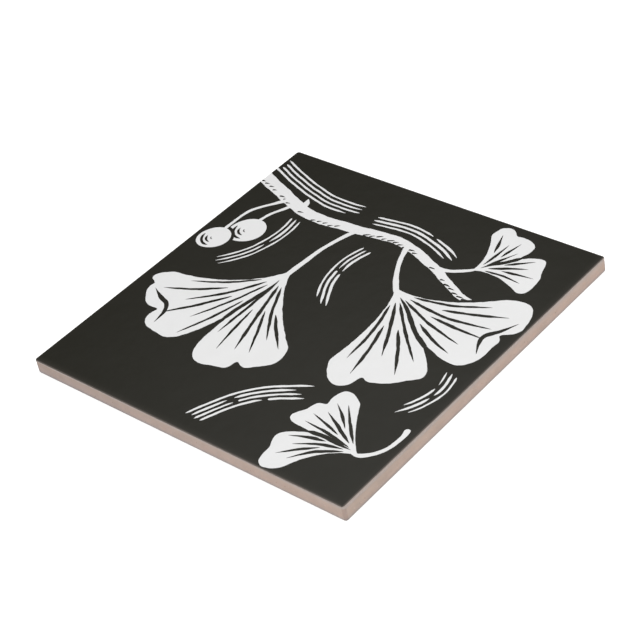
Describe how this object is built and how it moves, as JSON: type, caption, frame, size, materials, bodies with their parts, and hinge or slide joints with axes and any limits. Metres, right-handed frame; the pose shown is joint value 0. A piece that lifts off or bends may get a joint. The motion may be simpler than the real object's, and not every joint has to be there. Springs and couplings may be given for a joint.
{
  "type": "ceramic tile",
  "caption": "Square ceramic wall tile: thin fired slab with slightly rounded corners, a glossy black and white printed face, bare clay edges and a shallow keyed back.",
  "frame": {"origin": "centre of the back, on the plane that the tile lies on", "axes": "+Z out of the printed face; +X right and +Y up as the face is looked at straight on"},
  "size_m": [0.1524, 0.1524, 0.0065],
  "materials": {
    "fired_clay": "matte",
    "printed_glaze": "gloss"
  },
  "bodies": {
    "root": {"ceramic_tile": "fired_clay"}
  },
  "joints": []
}
